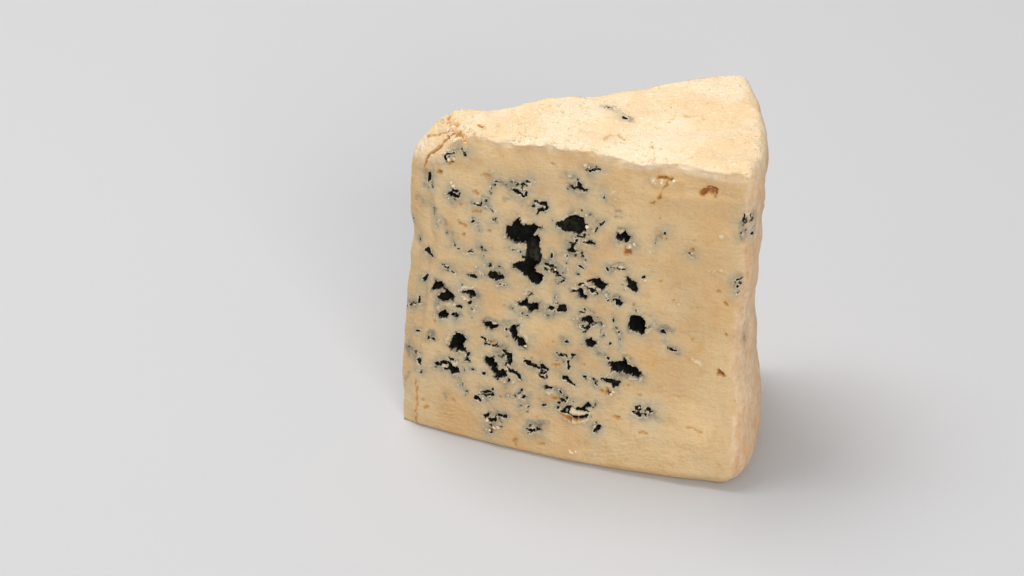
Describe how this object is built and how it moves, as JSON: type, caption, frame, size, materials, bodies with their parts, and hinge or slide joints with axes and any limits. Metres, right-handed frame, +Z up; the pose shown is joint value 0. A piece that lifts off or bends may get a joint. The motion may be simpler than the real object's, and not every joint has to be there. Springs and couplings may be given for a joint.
{
  "type": "blue cheese wedge",
  "caption": "Upright wedge of blue cheese: two knife-cut faces with mould-lined cavities, a blunt tip and a waisted strip of rind.",
  "frame": {"origin": "centre of the bounding box in plan, at the flat base that the wedge stands on", "axes": "+Z up; +X from the cut tip to the rind; -Y is the cut face that shows, +Y the other cut"},
  "size_m": [0.0994, 0.0644, 0.0973],
  "materials": {
    "cheese": "soft, slightly moist cheese paste with blue-green veining and a pale natural rind"
  },
  "bodies": {
    "root": {"cheese_wedge": "cheese"}
  },
  "joints": []
}
